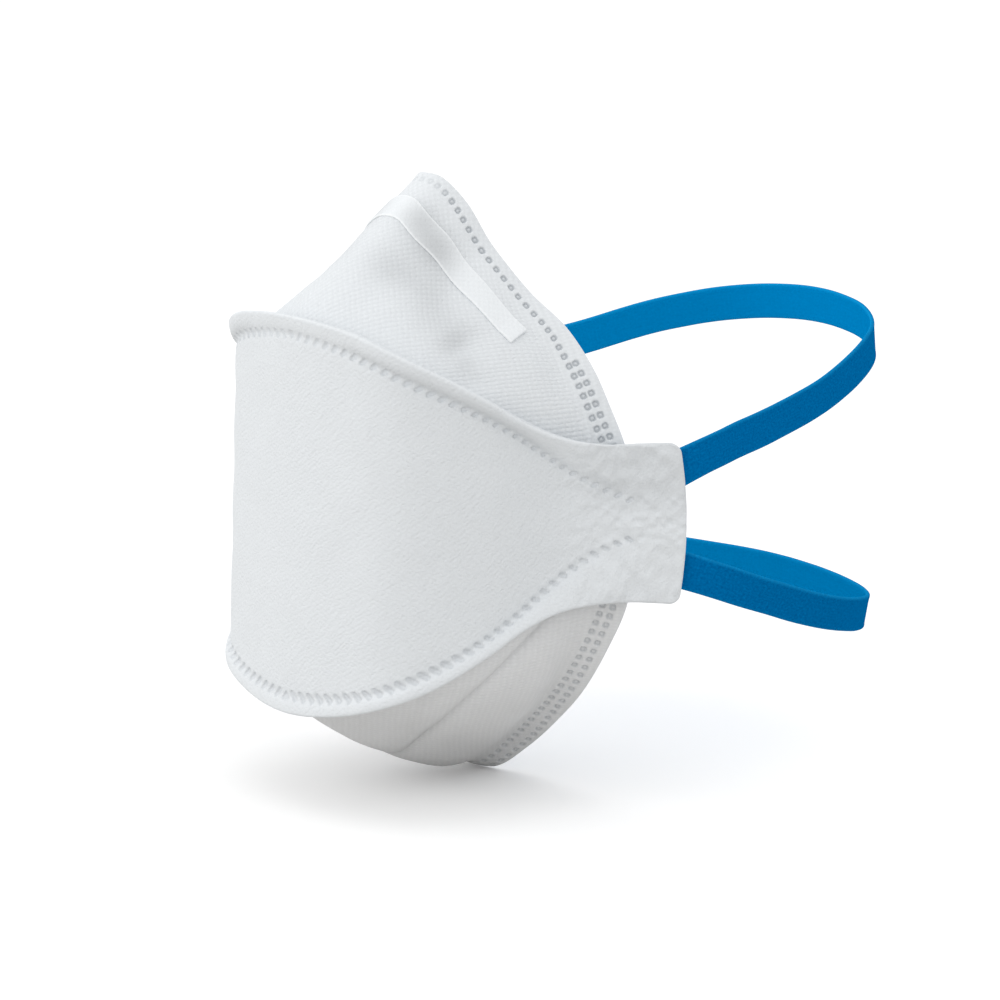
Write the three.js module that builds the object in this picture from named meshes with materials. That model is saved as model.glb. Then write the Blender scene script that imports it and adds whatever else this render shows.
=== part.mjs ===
// A disposable three-panel respirator with two elastic headbands, in the shape it has when worn.
//
// Frame, in millimetres: +Z is up, -Y is the front of the mask, +Y is towards the back of the wearer's
// head, and +X is the wearer's left. The origin is midway between the ends of the two side tabs, at
// about half their height. The mask is the same on both sides of the plane X = 0.
//
// Every piece is cloth or elastic: a thin closed sheet, laid with its outer face on a curved surface.

import * as THREE from "three";

// ---- driving dimensions

const frontReach = 66.5; // from the tab ends forward to the front of the centre panel
const panelHalfLength = 100.4; // from the front to the end of a side tab, along the cloth
const weldEnd = 88; // where the weld lines stop, at the root of the tab
const tabEndBow = 1.6; // how far the middle of a tab's end stands out past its corners
const tabBowStart = 80; // the bow sets in here and grows to the tab's end
const tabCornerRadius = 2.4;
const cornerStart = panelHalfLength - tabCornerRadius;

const centreThickness = 1.8;
const panelThickness = 1.5; // the nose and chin panels
const clipThickness = 0.8;
const bandThickness = 1.1;
const seatGap = 0.3; // between pieces that touch
const planStep = 0.5; // how finely the centre panel's line is walked

const clipWidth = 6.8;
const clipReach = 0.502; // how far the clip runs from the middle, as a share of the way to the tab

const bandWidth = 8.8;
const bandGap = 0.55; // between a band and the tab that it runs behind

// The last stretch of each headband, behind a tab: how far along the tab each place lies, and how high
// the middle of the upper and of the lower band is there, measured away from the middle of the tab.
const bandAnchors = [
  { along: 98, upper: 11.5, lower: 11.6 },
  { along: 95, upper: 10, lower: 10.8 },
  { along: 91.5, upper: 8.6, lower: 10 },
];

// The centre panel, by distance from the front along the cloth: its heading from +X in degrees, how
// high the weld lines stand, the widths of the flanges past them, how far the flanges lean out in
// degrees, and how far the lower weld line stands in front of the panel's middle and the upper behind.
const centreRows = [
  { along: 0, heading: 0, weld: 41.6, upper: 4.6, lower: 4.2, lean: 12, tip: 1.3 },
  { along: 12, heading: 9, weld: 40.6, upper: 5.0, lower: 4.1, lean: 13, tip: 1.3 },
  { along: 24, heading: 18, weld: 38.0, upper: 5.6, lower: 4.0, lean: 15, tip: 1.2 },
  { along: 38, heading: 57, weld: 32.5, upper: 5.2, lower: 4.1, lean: 20, tip: 0.9 },
  { along: 52, heading: 75, weld: 25.6, upper: 4.5, lower: 3.8, lean: 33, tip: 0.4 },
  { along: 60, heading: 79.6, weld: 21.0, upper: 4.2, lower: 4.0, lean: 41, tip: 0.1 },
  { along: 68, heading: 77, weld: 15.5, upper: 5.9, lower: 6.3, lean: 34, tip: 0 },
  { along: 76, heading: 63.3, weld: 10.1, upper: 8.7, lower: 10.0, lean: 20, tip: 0 },
  { along: 84, heading: 48, weld: 5.9, upper: 11.6, lower: 13.4, lean: 7, tip: 0 },
  { along: 90, heading: 42, weld: 4.0, upper: 13.6, lower: 15.3, lean: 2, tip: 0 },
  { along: 100.4, heading: 40, weld: 4.0, upper: 13.9, lower: 15.6, lean: 0, tip: 0 },
];

// The face edge of the nose panel, from the top of the nose arch to the tab.
const noseEdgeRows = [
  { x: 0, y: -25.5, z: 75.3 },
  { x: 4, y: -24.7, z: 74.7 },
  { x: 10, y: -21.9, z: 69.2 },
  { x: 16, y: -18.8, z: 59.6 },
  { x: 24, y: -14.6, z: 49.4 },
  { x: 33, y: -11.3, z: 42.0 },
  { x: 41.8, y: -10.2, z: 32.5 },
  { x: 45.8, y: -9.4, z: 25.2 },
  { x: 49.6, y: -8.2, z: 16.5 },
  { x: 51.5, y: -7.1, z: 9 },
];

// The face edge of the chin panel, from under the chin to the tab.
const chinEdgeRows = [
  { x: 0, y: -9.6, z: -68.6 },
  { x: 5, y: -8.6, z: -68.1 },
  { x: 13, y: -6, z: -62.4 },
  { x: 24, y: -6, z: -53.7 },
  { x: 34.7, y: -7, z: -44 },
  { x: 43.7, y: -7.5, z: -32 },
  { x: 49.5, y: -7.3, z: -21.1 },
  { x: 51.5, y: -7.1, z: -9 },
];

// How far a panel swells out from the straight line between its weld line and its face edge, a third
// and two thirds of the way down it, and how far it dips before the margin along its face edge, which
// flares out. All by the share of the way round from the middle to the tab.
const noseSwellRows = [
  { share: 0, nearWeld: 1.9, nearEdge: -0.3, dip: 0 },
  { share: 0.25, nearWeld: 1.2, nearEdge: 0.3, dip: 0 },
  { share: 0.45, nearWeld: 1.2, nearEdge: 0.6, dip: 0.6 },
  { share: 0.65, nearWeld: 1.1, nearEdge: 0, dip: 1.6 },
  { share: 0.85, nearWeld: 0, nearEdge: 0, dip: 0.4 },
  { share: 1, nearWeld: 0, nearEdge: 0, dip: 0 },
];
const chinSwellRows = [
  { share: 0, nearWeld: 3.5, nearEdge: 3.1, dip: 1.5 },
  { share: 0.25, nearWeld: 3.4, nearEdge: 1.6, dip: 3 },
  { share: 0.5, nearWeld: 2.4, nearEdge: 0.4, dip: 3 },
  { share: 0.7, nearWeld: 1.0, nearEdge: 0, dip: 1.6 },
  { share: 0.85, nearWeld: 0, nearEdge: 0, dip: 0.3 },
  { share: 1, nearWeld: 0, nearEdge: 0, dip: 0 },
];
const marginWidth = 8; // from the face edge to the bottom of the dip
const marginSpread = 5;
const swellPeak = 27 / 4; // brings each swell column to its own value at its peak

// Soft hollows in the nose panel, on both sides, and the shoulder of the nose arch, which stands out:
// where each lies, its depth, and how far it spreads round and down the panel.
const noseDents = [
  { share: 0.08, down: 0.74, depth: -0.5, spreadRound: 0.05, spreadDown: 0.2 },
  { share: 0.15, down: 0.5, depth: 0.9, spreadRound: 0.08, spreadDown: 0.14 },
  { share: 0.25, down: 0.78, depth: 1.1, spreadRound: 0.075, spreadDown: 0.2 },
  { share: 0.3, down: 0.52, depth: 1.5, spreadRound: 0.06, spreadDown: 0.15 },
  { share: 0.42, down: 0.37, depth: 1.5, spreadRound: 0.045, spreadDown: 0.12 },
  { share: 0.52, down: 0.2, depth: 0.6, spreadRound: 0.04, spreadDown: 0.1 },
];

// The fold that runs round the chin panel: how far down it lies and how deep it is.
const chinFoldSpread = 0.06;
const chinFoldRows = [
  { share: 0, down: 0.52, depth: 0.3 },
  { share: 0.15, down: 0.44, depth: 0.8 },
  { share: 0.3, down: 0.36, depth: 0.8 },
  { share: 0.45, down: 0.3, depth: 0.8 },
  { share: 0.65, down: 0.27, depth: 0.6 },
  { share: 0.8, down: 0.26, depth: 0 },
  { share: 1, down: 0.26, depth: 0 },
];

// How far in from the face edge the middle of the nose clip lies.
const clipRows = [
  { share: 0, inset: 11.2 },
  { share: 0.1, inset: 13.3 },
  { share: 0.2, inset: 12.7 },
  { share: 0.3, inset: 12.4 },
  { share: 0.42, inset: 12.9 },
  { share: 0.6, inset: 12.8 },
];

// The middle line of each headband, from the middle of the back of the head to the stretch behind the
// tab, and how far the band's upper edge leans out from the head, in degrees.
const upperBandRows = [
  { x: 0, y: 98.9, z: 30.9, lean: 0 },
  { x: 10.7, y: 97.9, z: 30.5, lean: -1 },
  { x: 21, y: 94.7, z: 29.5, lean: -2 },
  { x: 31.1, y: 87.9, z: 27.6, lean: -4 },
  { x: 38.1, y: 78.2, z: 25.2, lean: -4 },
  { x: 46.4, y: 57.7, z: 20.2, lean: -1 },
  { x: 52.7, y: 36.2, z: 17.1, lean: 0 },
  { x: 57.3, y: 16.5, z: 14.8, lean: 0 },
  { x: 60, y: 5.6, z: 13.5, lean: 0 },
];
const lowerBandRows = [
  { x: 0, y: 86.2, z: -35.1, lean: -1 },
  { x: 10.8, y: 85.5, z: -35.1, lean: -1 },
  { x: 23.4, y: 82.7, z: -35, lean: 0 },
  { x: 33.8, y: 78.8, z: -34.7, lean: 2 },
  { x: 44.7, y: 72.4, z: -33.9, lean: 6 },
  { x: 52.6, y: 65.3, z: -32.7, lean: 11 },
  { x: 59.6, y: 55.4, z: -30.6, lean: 18 },
  { x: 64.4, y: 44.1, z: -27.8, lean: 23 },
  { x: 66.5, y: 33.9, z: -24.7, lean: 24 },
  { x: 66.7, y: 21.8, z: -20.4, lean: 22 },
  { x: 64.9, y: 11.8, z: -16.5, lean: 16 },
  { x: 62.3, y: 4.5, z: -13.6, lean: 10 },
];

// ---- smooth curves through the tables

const oddColumns = ["x", "heading"]; // these change sign across the plane X = 0

// One column of a table on a smooth curve through its rows. The table is continued past its first
// row by its mirror image, and the place may be negative.
function read(rows, key, column, place) {
  const odd = oddColumns.includes(column);
  if (place < 0) {
    return (odd ? -1 : 1) * read(rows, key, column, -place);
  }
  const last = rows.length - 1;
  const keyAt = (i) => (i < 0 ? -rows[-i][key] : rows[i][key]);
  const valueAt = (i) => (i < 0 ? (odd ? -1 : 1) * rows[-i][column] : rows[i][column]);
  const slope = (a, b) => (valueAt(b) - valueAt(a)) / (keyAt(b) - keyAt(a));
  let i = 0;
  while (i < last - 1 && place > rows[i + 1][key]) {
    i += 1;
  }
  const span = keyAt(i + 1) - keyAt(i);
  const t = Math.min((place - keyAt(i)) / span, 1);
  const startSlope = (slope(i - 1, i) + slope(i, i + 1)) / 2;
  const endSlope = i + 1 < last ? (slope(i, i + 1) + slope(i + 1, i + 2)) / 2 : slope(i, i + 1);
  const value = valueAt(i) * (1 + 2 * t) * (1 - t) ** 2 + valueAt(i + 1) * (3 - 2 * t) * t ** 2;
  return value + span * (startSlope * t * (1 - t) ** 2 - endSlope * (1 - t) * t ** 2);
}

// Adds a column holding each row's share of the table's whole length, 0 at the first row.
function withShares(rows) {
  const points = rows.map((row) => new THREE.Vector3(row.x, row.y, row.z));
  const lengths = points.map((point, i) => (i > 0 ? point.distanceTo(points[i - 1]) : 0));
  const total = lengths.reduce((sum, length) => sum + length);
  let reached = 0;
  return rows.map((row, i) => {
    reached += lengths[i];
    return { ...row, share: reached / total };
  });
}

function pointAtShare(rows, share) {
  const [x, y, z] = ["x", "y", "z"].map((column) => read(rows, "share", column, share));
  return new THREE.Vector3(x, y, z);
}

// The outward direction of the centre panel at a distance from its front.
function outwardAt(along) {
  const heading = THREE.MathUtils.degToRad(read(centreRows, "along", "heading", along));
  return new THREE.Vector3(Math.sin(heading), -Math.cos(heading), 0);
}

// The centre panel's line seen from above, walked in steps along its heading.
const planPoints = [new THREE.Vector3(0, -frontReach, 0)];
for (let along = planStep / 2; along < panelHalfLength; along += planStep) {
  const outward = outwardAt(along);
  const step = new THREE.Vector3(-outward.y, outward.x, 0).multiplyScalar(planStep);
  planPoints.push(planPoints.at(-1).clone().add(step));
}

function planAt(along) {
  const reach = Math.min(Math.abs(along) / planStep, planPoints.length - 1);
  const index = Math.min(Math.floor(reach), planPoints.length - 2);
  const point = planPoints[index].clone().lerp(planPoints[index + 1], reach - index);
  point.x *= Math.sign(along);
  return point;
}

// ---- the outer faces of the pieces

// How far a place on the centre panel stands in front of the panel's middle line.
function tipAt(along, across) {
  return -read(centreRows, "along", "tip", along) * THREE.MathUtils.clamp(across, -1, 1);
}

// Across the centre panel: 0 is its middle, 1 and -1 are the weld lines, 2 and -2 the flange edges.
function centrePoint(along, across) {
  const side = Math.sign(across);
  const distance = Math.abs(along);
  const pastWeld = Math.max(Math.abs(across) - 1, 0);
  const lean = THREE.MathUtils.degToRad(read(centreRows, "along", "lean", distance));
  const intoCorner = THREE.MathUtils.clamp(distance - cornerStart, 0, tabCornerRadius);
  const cornerDrop = tabCornerRadius - Math.sqrt(tabCornerRadius ** 2 - intoCorner ** 2);
  const flange = read(centreRows, "along", side > 0 ? "upper" : "lower", distance) - cornerDrop;
  const weld = read(centreRows, "along", "weld", distance);
  const height = weld * Math.min(Math.abs(across), 1) + flange * pastWeld * Math.cos(lean);
  const onTab = THREE.MathUtils.smoothstep(distance, tabBowStart, panelHalfLength);
  const endBow = tabEndBow * onTab * (height / (weld + flange)) ** 2;
  const place = Math.sign(along) * (distance - endBow);
  const outwards = flange * pastWeld * Math.sin(lean) + tipAt(along, across);
  const point = planAt(place).addScaledVector(outwardAt(place), outwards);
  point.z = side * height;
  return point;
}

// A bell-shaped falling off, 1 in the middle and near nothing past twice the spread.
function bell(distance, spread) {
  return Math.exp(-((distance / spread) ** 2));
}

function noseHollow(share, down) {
  return noseDents.reduce((sum, dent) => {
    const round = bell(Math.abs(share) - dent.share, dent.spreadRound);
    return sum + dent.depth * round * bell(down - dent.down, dent.spreadDown);
  }, 0);
}

function chinHollow(share, down) {
  const fold = down - read(chinFoldRows, "share", "down", share);
  return read(chinFoldRows, "share", "depth", share) * bell(fold, chinFoldSpread);
}

// A nose or chin panel starts just inside the centre panel's weld line. Around it, share runs from -1
// at one tab to 1 at the other, and down from 0 at the weld line to 1 at the face edge.
function sidePanel(edgeRows, swellRows, hollow, side) {
  const edge = withShares(edgeRows);
  const straight = (share, down) => {
    const along = share * weldEnd;
    const inwards = centreThickness + seatGap - tipAt(along, side);
    const start = planAt(along).addScaledVector(outwardAt(along), -inwards);
    start.z = side * read(centreRows, "along", "weld", Math.abs(along));
    return start.lerp(pointAtShare(edge, share), down);
  };
  const outward = normalOf(straight, side);
  return (share, down) => {
    const nearWeld = read(swellRows, "share", "nearWeld", share) * down * (1 - down) ** 2;
    const nearEdge = read(swellRows, "share", "nearEdge", share) * down ** 2 * (1 - down);
    const fromEdge = straight(share, down).distanceTo(straight(share, 1));
    const dip = read(swellRows, "share", "dip", share) * bell(fromEdge - marginWidth, marginSpread);
    const swell = (nearWeld + nearEdge) * swellPeak - dip - hollow(share, down);
    return straight(share, down).addScaledVector(outward(share, down), swell);
  };
}

// The nose clip lies on the nose panel, a set distance from the face edge.
function clipSurface(nosePanel) {
  const outward = normalOf(nosePanel);
  return (share, across) => {
    const length = nosePanel(share, 0).distanceTo(nosePanel(share, 1));
    const inset = read(clipRows, "share", "inset", share) - (across * clipWidth) / 2;
    const down = 1 - inset / length;
    return nosePanel(share, down).addScaledVector(outward(share, down), seatGap + clipThickness);
  };
}

// A headband runs on behind each tab. Along it, share is 0 at the back of the head and 1 at its end.
function bandSurface(routeRows, side) {
  const behind = centreThickness + bandGap + bandThickness / 2;
  const anchorRows = bandAnchors.map((anchor) => {
    const point = planAt(anchor.along).addScaledVector(outwardAt(anchor.along), -behind);
    return { x: point.x, y: point.y, z: side * (side > 0 ? anchor.upper : anchor.lower), lean: 0 };
  });
  const rows = withShares([...routeRows, ...anchorRows]);
  const nudge = 1e-3;
  return (share, across) => {
    const along = pointAtShare(rows, share + nudge).sub(pointAtShare(rows, share - nudge)).normalize();
    const lean = THREE.MathUtils.degToRad(read(rows, "share", "lean", share));
    const widthwise = new THREE.Vector3(0, 0, 1).addScaledVector(along, -along.z).normalize();
    widthwise.applyAxisAngle(along, -lean);
    const outward = widthwise.clone().cross(along);
    return pointAtShare(rows, share)
      .addScaledVector(widthwise, (across * bandWidth) / 2)
      .addScaledVector(outward, bandThickness / 2);
  };
}

// The direction square to a surface, from points a little either way along it.
function normalOf(surface, side = 1) {
  const nudge = 1e-3;
  return (u, v) => {
    const alongU = surface(u + nudge, v).sub(surface(u - nudge, v));
    const alongV = surface(u, v + nudge).sub(surface(u, v - nudge));
    return alongU.cross(alongV).multiplyScalar(side).normalize();
  };
}

// ---- closed sheets

// A closed sheet whose outer face is the surface at every pair of stations, and whose inner face lies
// the thickness behind it. Side is -1 where the surface's own normal points in.
function sheetGeometry(surface, uStations, vStations, thickness, side = 1) {
  const normal = normalOf(surface, side);
  const vertices = [];
  for (const depth of [0, thickness]) {
    for (const u of uStations) {
      for (const v of vStations) {
        vertices.push(...surface(u, v).addScaledVector(normal(u, v), -depth).toArray());
      }
    }
  }
  const columns = uStations.length;
  const rows = vStations.length;
  const outer = (i, j) => i * rows + j;
  const inner = (i, j) => columns * rows + outer(i, j);
  const triangles = [];
  const quad = (a, b, c, d) => triangles.push(...(side > 0 ? [a, b, c, a, c, d] : [a, c, b, a, d, c]));
  for (let i = 0; i < columns - 1; i += 1) {
    for (let j = 0; j < rows - 1; j += 1) {
      quad(outer(i, j), outer(i + 1, j), outer(i + 1, j + 1), outer(i, j + 1));
      quad(inner(i, j), inner(i, j + 1), inner(i + 1, j + 1), inner(i + 1, j));
    }
    quad(outer(i, 0), inner(i, 0), inner(i + 1, 0), outer(i + 1, 0));
    quad(outer(i, rows - 1), outer(i + 1, rows - 1), inner(i + 1, rows - 1), inner(i, rows - 1));
  }
  for (let j = 0; j < rows - 1; j += 1) {
    quad(outer(0, j), outer(0, j + 1), inner(0, j + 1), inner(0, j));
    quad(outer(columns - 1, j), inner(columns - 1, j), inner(columns - 1, j + 1), outer(columns - 1, j + 1));
  }
  const geometry = new THREE.BufferGeometry();
  geometry.setAttribute("position", new THREE.Float32BufferAttribute(vertices, 3));
  geometry.setIndex(triangles);
  geometry.computeVertexNormals();
  return geometry;
}

// Evenly spaced numbers from one to another, in a number of steps.
function evenly(from, to, steps) {
  return Array.from({ length: steps + 1 }, (_, i) => from + ((to - from) * i) / steps);
}

// ---- the pieces

const nonwoven = new THREE.MeshStandardMaterial({ color: 0xe9ebec, roughness: 0.9, metalness: 0 });
const clipPlastic = new THREE.MeshStandardMaterial({ color: 0xf1f3f4, roughness: 0.6, metalness: 0 });
const elastic = new THREE.MeshStandardMaterial({ color: 0x0b6fbd, roughness: 0.85, metalness: 0 });

function piece(name, geometry, material) {
  const mesh = new THREE.Mesh(geometry, material);
  mesh.name = name;
  return mesh;
}

// How many facets each sheet has round it, from end to end, and across it.
const cornerFacets = 5;
const centreFacets = { round: 48, across: 8 };
const noseFacets = { round: 54, across: 9 };
const chinFacets = { round: 54, across: 12 };
const clipFacets = 36;
const bandFacets = 90;

// Stations close together towards both ends, for the round corners of the tabs.
const cornerSteps = evenly(0, 1, cornerFacets).map((step) => Math.sin((step * Math.PI) / 2));
const cornerStations = cornerSteps.map((step) => panelHalfLength - tabCornerRadius * (1 - step));
const centreStations = [
  ...cornerStations.map((along) => -along).reverse(),
  ...evenly(-cornerStart, cornerStart, centreFacets.round).slice(1, -1),
  ...cornerStations,
];
const centreAcross = [-2, -1.5, ...evenly(-1, 1, centreFacets.across), 1.5, 2];

const respirator = new THREE.Group();
const nosePanel = sidePanel(noseEdgeRows, noseSwellRows, noseHollow, 1);
const chinPanel = sidePanel(chinEdgeRows, chinSwellRows, chinHollow, -1);
const noseRound = evenly(-1, 1, noseFacets.round);
const noseDown = evenly(0, 1, noseFacets.across);
const chinRound = evenly(-1, 1, chinFacets.round);
const chinDown = evenly(0, 1, chinFacets.across);
const clipStations = evenly(-clipReach, clipReach, clipFacets);
const bandStations = evenly(-1, 1, bandFacets);
const bothEdges = [-1, 1];

respirator.add(
  piece(
    "centre_panel",
    sheetGeometry(centrePoint, centreStations, centreAcross, centreThickness),
    nonwoven,
  ),
  piece("top_panel", sheetGeometry(nosePanel, noseRound, noseDown, panelThickness), nonwoven),
  piece("chin_panel", sheetGeometry(chinPanel, chinRound, chinDown, panelThickness, -1), nonwoven),
  piece(
    "nose_clip",
    sheetGeometry(clipSurface(nosePanel), clipStations, bothEdges, clipThickness),
    clipPlastic,
  ),
  piece(
    "upper_headband",
    sheetGeometry(bandSurface(upperBandRows, 1), bandStations, bothEdges, bandThickness, -1),
    elastic,
  ),
  piece(
    "lower_headband",
    sheetGeometry(bandSurface(lowerBandRows, -1), bandStations, bothEdges, bandThickness, -1),
    elastic,
  ),
);

export default respirator;
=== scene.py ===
# The looks of a disposable three-panel respirator with two elastic headbands, built around its frame.

import math

import bpy
import numpy as np
from mathutils import Matrix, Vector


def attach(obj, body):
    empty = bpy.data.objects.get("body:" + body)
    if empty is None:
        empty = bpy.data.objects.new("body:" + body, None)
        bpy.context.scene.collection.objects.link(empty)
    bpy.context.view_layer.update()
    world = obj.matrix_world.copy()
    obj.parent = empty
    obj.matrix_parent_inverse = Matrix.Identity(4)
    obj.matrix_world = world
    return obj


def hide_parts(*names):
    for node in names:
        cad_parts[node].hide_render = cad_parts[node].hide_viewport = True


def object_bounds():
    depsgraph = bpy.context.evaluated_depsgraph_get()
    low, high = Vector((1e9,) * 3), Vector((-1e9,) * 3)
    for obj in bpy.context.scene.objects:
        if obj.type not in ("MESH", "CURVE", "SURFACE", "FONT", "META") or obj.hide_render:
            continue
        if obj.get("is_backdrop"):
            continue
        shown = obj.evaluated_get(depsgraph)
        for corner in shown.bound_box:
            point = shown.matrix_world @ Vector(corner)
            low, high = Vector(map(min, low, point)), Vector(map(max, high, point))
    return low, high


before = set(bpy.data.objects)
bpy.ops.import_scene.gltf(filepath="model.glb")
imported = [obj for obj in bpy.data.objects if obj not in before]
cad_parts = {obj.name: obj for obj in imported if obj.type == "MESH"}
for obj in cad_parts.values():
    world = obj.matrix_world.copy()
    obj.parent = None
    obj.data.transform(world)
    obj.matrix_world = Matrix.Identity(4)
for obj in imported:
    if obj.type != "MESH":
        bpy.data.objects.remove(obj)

cadBox = [list(corner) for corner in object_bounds()]
millimetre = 0.001
print("frame loaded:", ", ".join(sorted(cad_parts)))


# Smooth curves through tables of sizes, in millimetres. They are the ones that the frame is built on.

oddColumns = ("x", "heading")  # these change sign across the middle of the mask


def table(names, *rows):
    return dict(zip(names.split(), np.array(rows, float).T))


def read(rows, column, place):  # by the table's first column
    odd = column in oddColumns
    keys = next(iter(rows.values()))
    keys = np.concatenate([[-keys[1]], keys])
    first = -rows[column][1] if odd else rows[column][1]
    values = np.concatenate([[first], rows[column]])
    slopes = np.diff(values) / np.diff(keys)
    tangents = np.concatenate([slopes[:1], (slopes[1:] + slopes[:-1]) / 2, slopes[-1:]])
    reach = np.minimum(np.abs(place), keys[-1])
    i = np.clip(np.searchsorted(keys, reach, side="left") - 1, 1, len(keys) - 2)
    span = keys[i + 1] - keys[i]
    t = (reach - keys[i]) / span
    value = values[i] * (1 + 2 * t) * (1 - t) ** 2 + values[i + 1] * (3 - 2 * t) * t**2
    value = value + span * (tangents[i] * t * (1 - t) ** 2 - tangents[i + 1] * (1 - t) * t**2)
    return np.sign(place) * value if odd else value


def reachAlong(points):  # how far along a line each of its points lies
    steps = np.linalg.norm(np.diff(points, axis=0), axis=-1)
    return np.concatenate([[0], np.cumsum(steps)])


def withShares(rows):  # puts first how far along the table's line each row lies
    reached = reachAlong(np.stack([rows["x"], rows["y"], rows["z"]], axis=-1))
    return {"share": reached / reached[-1], **rows}


def spot(x, y, z):
    return np.stack(np.broadcast_arrays(x, y, z), axis=-1).astype(float)


def spotOn(rows, share):
    return spot(*(read(rows, axis, share) for axis in "xyz"))


def unit(vectors):
    return vectors / np.maximum(np.linalg.norm(vectors, axis=-1, keepdims=True), 1e-12)


def times(vectors, amounts):
    return vectors * np.asarray(amounts)[..., None]


def smooth(value, low, high):
    t = np.clip((value - low) / (high - low), 0, 1)
    return t * t * (3 - 2 * t)


def bell(distance, spread):
    return np.exp(-((distance / spread) ** 2))


def sumOfBells(rows, share, down):
    # Each row has the place of a bell, its height, and how far it spreads round the mask and down it.
    total = np.zeros(share.shape)
    for at, low, height, spreadRound, spreadDown in rows:
        total = total + height * bell(np.abs(share) - at, spreadRound) * bell(down - low, spreadDown)
    return total


def closeAtEnds(end, insets, count):  # evenly spread from end to end, and closer together at both
    near = end - insets
    return np.concatenate([-near[:-1], np.linspace(-near[-1], near[-1], count), near[:-1][::-1]])


def rowsOf(*parts):
    return np.concatenate(parts, axis=1)


def between(low, high, count):  # numbers between two ends, without the ends
    return np.linspace(low, high, count + 2)[1:-1]


def softNoise(x, y, size, seed):  # rolling hills from -1 to 1
    lattice = np.random.default_rng(seed).uniform(-1, 1, (64, 64))
    u, v = np.asarray(x) / size + 31.7, np.asarray(y) / size + 17.3
    i, j = np.floor(u).astype(int), np.floor(v).astype(int)
    a, b = smooth(u - i, 0, 1), smooth(v - j, 0, 1)
    near = lattice[i % 64, j % 64] * (1 - a) + lattice[(i + 1) % 64, j % 64] * a
    far = lattice[i % 64, (j + 1) % 64] * (1 - a) + lattice[(i + 1) % 64, (j + 1) % 64] * a
    return near * (1 - b) + far * b


mask = {
    "frontReach": 66.5,  # from the tab ends forward to the front
    "halfLength": 100.4,  # from the front to the end of a tab, along the cloth
    "weldEnd": 88,
    "tabBow": 1.6,
    "tabBowStart": 80,
    "cornerRadius": 2.4,
    "thickness": 1.8,
    "seat": 0.3,
    "marginWidth": 8,
    "marginSpread": 5,
}

centreRows = table(
    "along heading weld upper lower lean tip",
    (0, 0, 41.6, 4.6, 4.2, 12, 1.3),
    (12, 9, 40.6, 5.0, 4.1, 13, 1.3),
    (24, 18, 38.0, 5.6, 4.0, 15, 1.2),
    (38, 57, 32.5, 5.2, 4.1, 20, 0.9),
    (52, 75, 25.6, 4.5, 3.8, 33, 0.4),
    (60, 79.6, 21.0, 4.2, 4.0, 41, 0.1),
    (68, 77, 15.5, 5.9, 6.3, 34, 0),
    (76, 63.3, 10.1, 8.7, 10.0, 20, 0),
    (84, 48, 5.9, 11.6, 13.4, 7, 0),
    (90, 42, 4.0, 13.6, 15.3, 2, 0),
    (100.4, 40, 4.0, 13.9, 15.6, 0, 0),
)

planStep = 0.05
planReach = np.arange(0, mask["halfLength"] + planStep / 2, planStep)
planHeading = np.radians(read(centreRows, "heading", planReach[:-1] + planStep / 2))
planX = np.concatenate([[0], np.cumsum(np.cos(planHeading)) * planStep])
planY = np.concatenate([[0], np.cumsum(np.sin(planHeading)) * planStep]) - mask["frontReach"]


def planAt(along):
    reach = np.abs(along)
    x, y = np.interp(reach, planReach, planX), np.interp(reach, planReach, planY)
    return spot(np.sign(along) * x, y, 0)


def outwardAt(along):
    heading = np.radians(read(centreRows, "heading", along))
    return spot(np.sin(heading), -np.cos(heading), 0)


def weldAt(along):
    return read(centreRows, "weld", np.abs(along))


def cornerDrop(along):
    radius = mask["cornerRadius"]
    into = np.clip(np.abs(along) - (mask["halfLength"] - radius), 0, radius)
    return radius - np.sqrt(radius**2 - into**2)


def flangeAt(along, side):  # its width before the tab's corners are rounded off
    upper = read(centreRows, "upper", np.abs(along))
    lower = read(centreRows, "lower", np.abs(along))
    return np.where(side > 0, upper, lower)


def tipAt(along, across):
    return -read(centreRows, "tip", np.abs(along)) * np.clip(across, -1, 1)


def centreFace(along, height):
    # Along the cloth from the front, and up it from its middle.
    side, reach = np.sign(height), np.abs(along)
    weld, flange = weldAt(along), flangeAt(along, side)
    past = np.maximum(np.abs(height) - weld, 0)
    lean = np.radians(read(centreRows, "lean", reach))
    up = np.minimum(np.abs(height), weld) + past * np.cos(lean)
    onTab = smooth(reach, mask["tabBowStart"], mask["halfLength"])
    bow = mask["tabBow"] * onTab * (up / (weld + flange)) ** 2
    place = np.sign(along) * (reach - bow)
    out = past * np.sin(lean) + tipAt(along, height / weld)
    point = planAt(place) + times(outwardAt(place), out)
    point[..., 2] = side * up
    return point


def gridNormals(points, side=1):
    across, down = np.gradient(points, axis=0), np.gradient(points, axis=1)
    return unit(np.cross(across, down)) * side


# Closed sheets of cloth: an outer and an inner face that meet in a rounded rim.


def addObject(name, data):
    made = bpy.data.objects.new(name, data)
    bpy.context.scene.collection.objects.link(made)
    return made


def makeMesh(name, points, faces, flat, marks):
    mesh = bpy.data.meshes.new(name)
    mesh.from_pydata((points * millimetre).tolist(), [], faces)
    mesh.polygons.foreach_set("use_smooth", np.ones(len(faces), bool))
    corners = np.empty(len(mesh.loops), np.int32)
    mesh.loops.foreach_get("vertex_index", corners)
    layer = mesh.uv_layers.new(name="flat")  # the cloth laid flat, in millimetres
    layer.data.foreach_set("uv", flat[corners].astype(np.float32).ravel())
    for key, values in marks.items():
        attribute = mesh.attributes.new(key, "FLOAT", "POINT")
        attribute.data.foreach_set("value", values.astype(np.float32))
    mesh.update()
    return addObject(name, mesh)


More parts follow.
